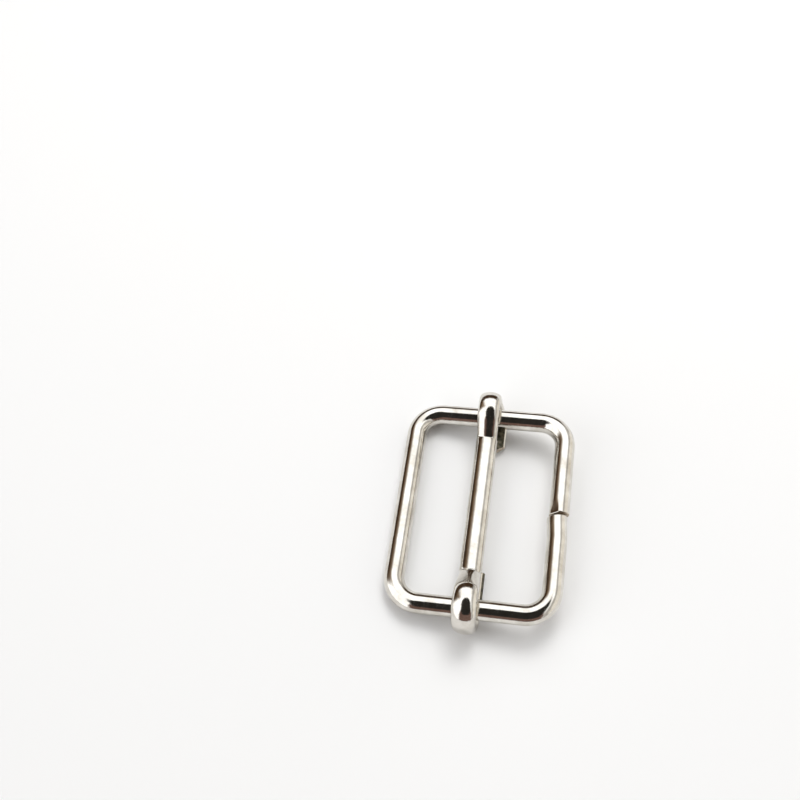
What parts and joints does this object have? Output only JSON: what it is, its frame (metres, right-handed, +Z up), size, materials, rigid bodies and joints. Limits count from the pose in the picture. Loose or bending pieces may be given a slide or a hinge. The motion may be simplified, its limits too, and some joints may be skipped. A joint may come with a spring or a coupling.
{
  "type": "slide buckle",
  "caption": "Wire slide buckle: a rounded rectangular frame of round wire with a coined centre bar hooked over both end wires, sliding sideways to grip webbing.",
  "frame": {"origin": "centre of the bounding box in plan, at the level of the underside of the two hooks", "axes": "+Z up through the flat frame, +Y along the centre bar and the strap's width, +X across the buckle along the bar's sliding direction"},
  "size_m": [0.0242, 0.0354, 0.0073],
  "materials": {
    "frame_plating": "bright nickel plate on steel wire",
    "bar_plating": "bright nickel plate on coined steel wire"
  },
  "bodies": {
    "frame": {"wire_frame": "frame_plating"},
    "bar": {"sliding_bar": "bar_plating"}
  },
  "joints": [
    {"name": "bar_slide", "type": "slide", "parent": "frame", "child": "bar", "axis": [1, 0, 0], "range_m": [-0.0049, 0.0049]}
  ]
}
